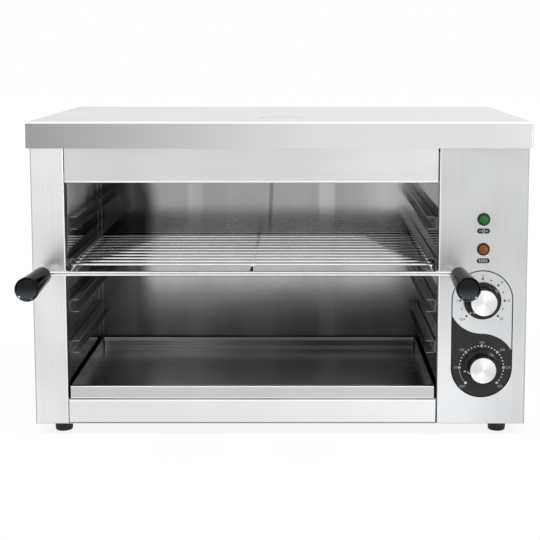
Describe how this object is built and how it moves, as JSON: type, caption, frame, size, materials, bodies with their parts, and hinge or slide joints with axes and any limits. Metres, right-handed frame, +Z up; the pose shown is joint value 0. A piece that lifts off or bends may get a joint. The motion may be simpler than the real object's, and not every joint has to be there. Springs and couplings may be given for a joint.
{
  "type": "cheese melter",
  "caption": "Open fronted steel cheese melter with elements under its ceiling, rack guides, a sliding wire rack with two handles, a drip tray and a control panel.",
  "frame": {"origin": "on the table, under the middle of the whole object's bounding box", "axes": "+X to the right seen from the front, +Y to the back, +Z up; the front faces -Y"},
  "size_m": [0.6, 0.47, 0.38],
  "materials": {
    "cover_steel": "satin stainless sheet",
    "body_steel": "brushed stainless sheet",
    "cavity_steel": "bright stainless lining, dulled by heat",
    "tray_steel": "stainless pan",
    "rack_chrome": "chromed wire",
    "handle_black": "glossy moulded grip",
    "knob_black": "satin moulded knob",
    "cap_aluminium": "spun face",
    "shaft_steel": "turned shaft",
    "element_steel": "heat darkened tube",
    "hanger_steel": "plain strip",
    "insulation_wool": "mineral wool",
    "unit_case": "moulded case",
    "sensor_copper": "copper bulb and capillary",
    "lens_green": "clear green lens",
    "lens_amber": "clear amber lens",
    "bezel_black": "moulded lamp housing",
    "terminal_white": "terminal block",
    "gland_black": "moulded cable gland",
    "foot_rubber": "moulded rubber",
    "fastener_steel": "plated screws"
  },
  "bodies": {
    "cabinet": {"top_cover": "cover_steel", "left_side_panel": "body_steel", "right_side_panel": "body_steel", "control_panel": "body_steel", "front_header": "body_steel", "bottom_rail": "body_steel", "back_panel": "body_steel", "base_plate": "body_steel", "left_cavity_wall": "cavity_steel", "right_cavity_wall": "cavity_steel", "cavity_back_wall": "cavity_steel", "cavity_ceiling": "cavity_steel", "cavity_floor": "cavity_steel", "rack_guide_left_1": "cavity_steel", "rack_guide_left_2": "cavity_steel", "rack_guide_left_3": "cavity_steel", "rack_guide_left_4": "cavity_steel", "rack_guide_right_1": "cavity_steel", "rack_guide_right_2": "cavity_steel", "rack_guide_right_3": "cavity_steel", "rack_guide_right_4": "cavity_steel", "front_heating_element": "element_steel", "rear_heating_element": "element_steel", "element_hangers": "hanger_steel", "bulb_clips": "hanger_steel", "ceiling_insulation": "insulation_wool", "timer_unit": "unit_case", "thermostat_unit": "unit_case", "thermostat_bulb": "sensor_copper", "power_lamp_lens": "lens_green", "heat_lamp_lens": "lens_amber", "power_lamp_housing": "bezel_black", "heat_lamp_housing": "bezel_black", "terminal_block": "terminal_white", "cable_gland": "gland_black", "gland_nut": "gland_black", "foot_front_left": "foot_rubber", "foot_front_right": "foot_rubber", "foot_rear_left": "foot_rubber", "foot_rear_right": "foot_rubber", "foot_screws": "fastener_steel", "cover_screws": "fastener_steel", "back_panel_screws": "fastener_steel", "control_screws": "fastener_steel"},
    "rack": {"rack_grid": "rack_chrome", "rack_front_bar": "rack_chrome", "rack_handle_left": "handle_black", "rack_handle_right": "handle_black"},
    "tray": {"drip_tray": "tray_steel"},
    "timer_control": {"timer_shaft": "shaft_steel", "timer_knob": "knob_black", "timer_knob_cap": "cap_aluminium"},
    "thermostat_control": {"thermostat_shaft": "shaft_steel", "thermostat_knob": "knob_black", "thermostat_knob_cap": "cap_aluminium"}
  },
  "joints": [
    {"name": "rack_slide", "type": "slide", "parent": "cabinet", "child": "rack", "axis": [0, -1, 0], "range_m": [0, 0.26]},
    {"name": "tray_slide", "type": "slide", "parent": "cabinet", "child": "tray", "axis": [0, -1, 0], "range_m": [0, 0.26]},
    {"name": "timer_turn", "type": "hinge", "parent": "cabinet", "child": "timer_control", "pos_m": [0.243, -0.123, 0.165], "axis": [0, 1, 0], "range_deg": [0, 270]},
    {"name": "thermostat_turn", "type": "hinge", "parent": "cabinet", "child": "thermostat_control", "pos_m": [0.243, -0.123, 0.083], "axis": [0, 1, 0], "range_deg": [-34, 236]}
  ]
}
